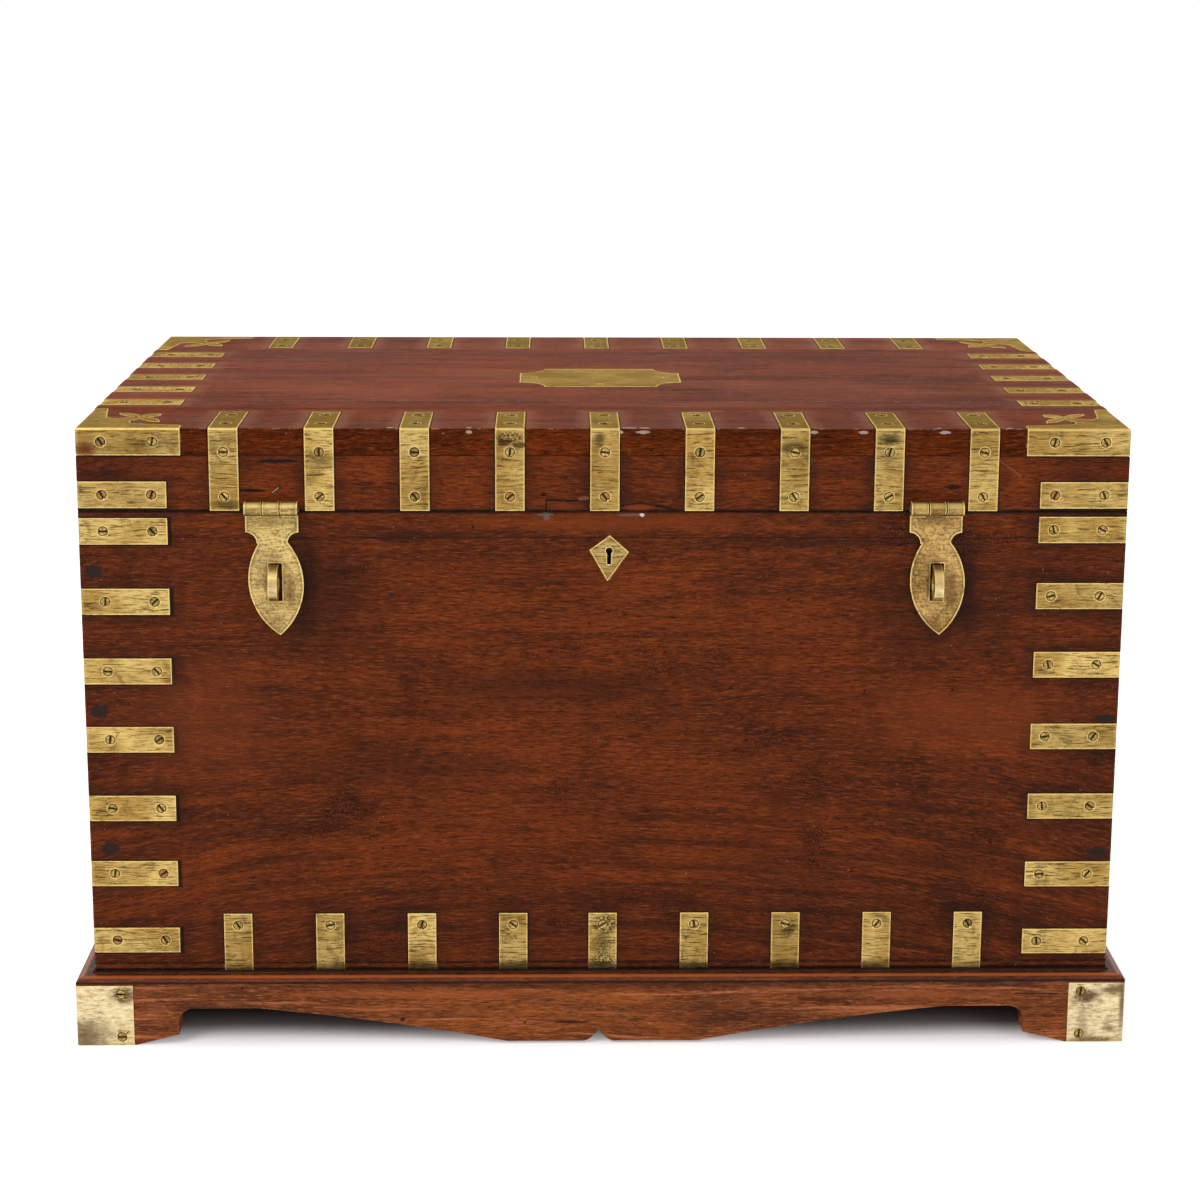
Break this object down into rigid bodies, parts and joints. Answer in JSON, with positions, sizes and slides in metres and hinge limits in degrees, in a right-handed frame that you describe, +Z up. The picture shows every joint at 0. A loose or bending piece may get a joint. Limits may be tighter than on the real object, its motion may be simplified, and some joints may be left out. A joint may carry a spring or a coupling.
{
  "type": "military chest",
  "caption": "Brass-bound hardwood chest with a hinged lid, two hasps over staples, a box lock, drop handles and a shaped plinth.",
  "frame": {"origin": "on the floor, in the middle of the chest's outline seen from above, staples included", "axes": "+X along the chest to the viewer's right, the front faces -Y, +Z up"},
  "size_m": [0.9446, 0.5472, 0.5638],
  "materials": {
    "carcase": "waxed red-brown hardwood",
    "lid_wood": "waxed red-brown hardwood, slightly faded",
    "blocking": "plain unpolished wood",
    "brass": "old, scratched and tarnished",
    "screws": "old, dull",
    "lock_iron": "dark, oiled"
  },
  "bodies": {
    "case": {"case_front": "carcase", "case_back": "carcase", "case_left_end": "carcase", "case_right_end": "carcase", "bottom_boards": "carcase", "plinth_front": "carcase", "plinth_back": "carcase", "plinth_left": "carcase", "plinth_right": "carcase", "moulding_front": "carcase", "moulding_back": "carcase", "moulding_left": "carcase", "moulding_right": "carcase", "plinth_ledgers": "blocking", "plinth_corner_blocks": "blocking", "plinth_corner_plates": "brass", "plinth_plate_screws": "screws", "bottom_screws": "screws", "ledger_screws": "screws", "case_corner_straps": "brass", "case_bottom_straps": "brass", "case_strap_screws": "screws", "left_staple": "brass", "right_staple": "brass", "staple_nuts": "screws", "escutcheon": "brass", "lock_case": "lock_iron", "lock_selvedge": "brass", "hinge_case_leaves": "brass", "hinge_pins": "screws", "case_fitting_screws": "screws", "left_handle_plate": "brass", "right_handle_plate": "brass"},
    "lid": {"lock_link_plate": "brass", "hinge_lid_leaves": "brass", "lid_front_plank": "lid_wood", "lid_middle_plank": "lid_wood", "lid_back_plank": "lid_wood", "lid_front_rail": "lid_wood", "lid_back_rail": "lid_wood", "lid_left_rail": "lid_wood", "lid_right_rail": "lid_wood", "lid_corner_caps": "brass", "lid_corner_straps": "brass", "lid_front_straps": "brass", "lid_back_straps": "brass", "lid_end_straps": "brass", "lid_strap_screws": "screws", "nameplate": "brass", "lid_pins": "screws", "lid_fitting_screws": "screws", "hasp_leaves": "brass", "hasp_pins": "screws"},
    "left_hasp_plate": {"left_hasp": "brass"},
    "right_hasp_plate": {"right_hasp": "brass"},
    "left_drop_handle": {"left_handle": "brass"},
    "right_drop_handle": {"right_handle": "brass"},
    "bolt": {"lock_bolt": "lock_iron"}
  },
  "joints": [
    {"name": "lid_hinge", "type": "hinge", "parent": "case", "child": "lid", "pos_m": [0, 0.26265, 0.49025], "axis": [-1, 0, 0], "range_deg": [0, 100]},
    {"name": "left_hasp_hinge", "type": "hinge", "parent": "lid", "child": "left_hasp_plate", "pos_m": [-0.289, -0.25655, 0.494], "axis": [-1, 0, 0], "range_deg": [0, 180]},
    {"name": "right_hasp_hinge", "type": "hinge", "parent": "lid", "child": "right_hasp_plate", "pos_m": [0.289, -0.25655, 0.494], "axis": [-1, 0, 0], "range_deg": [0, 180]},
    {"name": "left_handle_hinge", "type": "hinge", "parent": "case", "child": "left_drop_handle", "pos_m": [-0.4648, 0.00435, 0.304], "axis": [0, 1, 0], "range_deg": [0, 90]},
    {"name": "right_handle_hinge", "type": "hinge", "parent": "case", "child": "right_drop_handle", "pos_m": [0.4648, 0.00435, 0.304], "axis": [0, -1, 0], "range_deg": [0, 90]},
    {"name": "lock_bolt_slide", "type": "slide", "parent": "case", "child": "bolt", "axis": [1, 0, 0], "range_m": [0, 0.008]}
  ]
}
